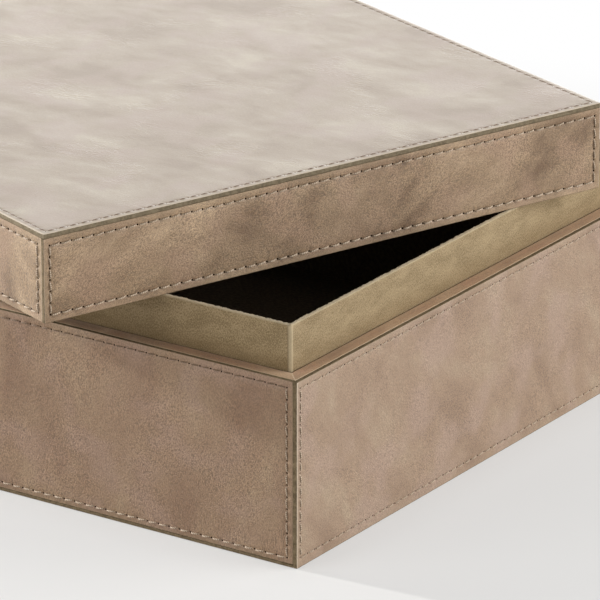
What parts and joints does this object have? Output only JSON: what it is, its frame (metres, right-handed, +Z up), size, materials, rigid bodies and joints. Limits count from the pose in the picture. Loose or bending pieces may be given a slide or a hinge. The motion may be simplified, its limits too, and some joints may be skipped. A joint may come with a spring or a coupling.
{
  "type": "stationery box",
  "caption": "Rectangular stationery box in stitched leather with a suede collar and a lift-off lid that lies askew on the collar.",
  "frame": {"origin": "centre of the tray's underside, on the surface it stands on", "axes": "+Z up, +X along the tray's length towards its right end, -Y towards its front. The lid lies turned about Z, so the whole part's box isn't centred on the origin."},
  "size_m": [0.393, 0.34, 0.1186],
  "materials": {
    "leather": "soft nubuck with cloudy shading",
    "leather_strip": "matt, thin pared leather",
    "suede": "matt suede",
    "board": "matt fibreboard",
    "lining": "matt close weave",
    "thread": "matt twisted thread, on the visual model's stitches",
    "under_cover": "matt"
  },
  "bodies": {
    "tray": {"under_cover": "under_cover", "bottom_board": "board", "front_board": "board", "right_board": "board", "back_board": "board", "left_board": "board", "front_leather": "leather", "right_leather": "leather", "back_leather": "leather", "left_leather": "leather", "front_ledge": "leather_strip", "right_ledge": "leather_strip", "back_ledge": "leather_strip", "left_ledge": "leather_strip", "collar_front_board": "board", "collar_right_board": "board", "collar_back_board": "board", "collar_left_board": "board", "collar_suede": "suede", "front_lining": "lining", "right_lining": "lining", "back_lining": "lining", "left_lining": "lining", "floor_lining": "lining"},
    "lid": {"lid_top_leather": "leather", "lid_top_board": "board", "lid_top_lining": "lining", "lid_front_leather": "leather", "lid_right_leather": "leather", "lid_back_leather": "leather", "lid_left_leather": "leather", "lid_front_board": "board", "lid_right_board": "board", "lid_back_board": "board", "lid_left_board": "board", "lid_front_rim": "leather_strip", "lid_right_rim": "leather_strip", "lid_back_rim": "leather_strip", "lid_left_rim": "leather_strip", "lid_front_lining": "lining", "lid_right_lining": "lining", "lid_back_lining": "lining", "lid_left_lining": "lining"}
  },
  "joints": [
    {"name": "lid_lift", "type": "slide", "parent": "tray", "child": "lid", "axis": [0, 0, 1], "range_m": [0, 0.15]}
  ]
}
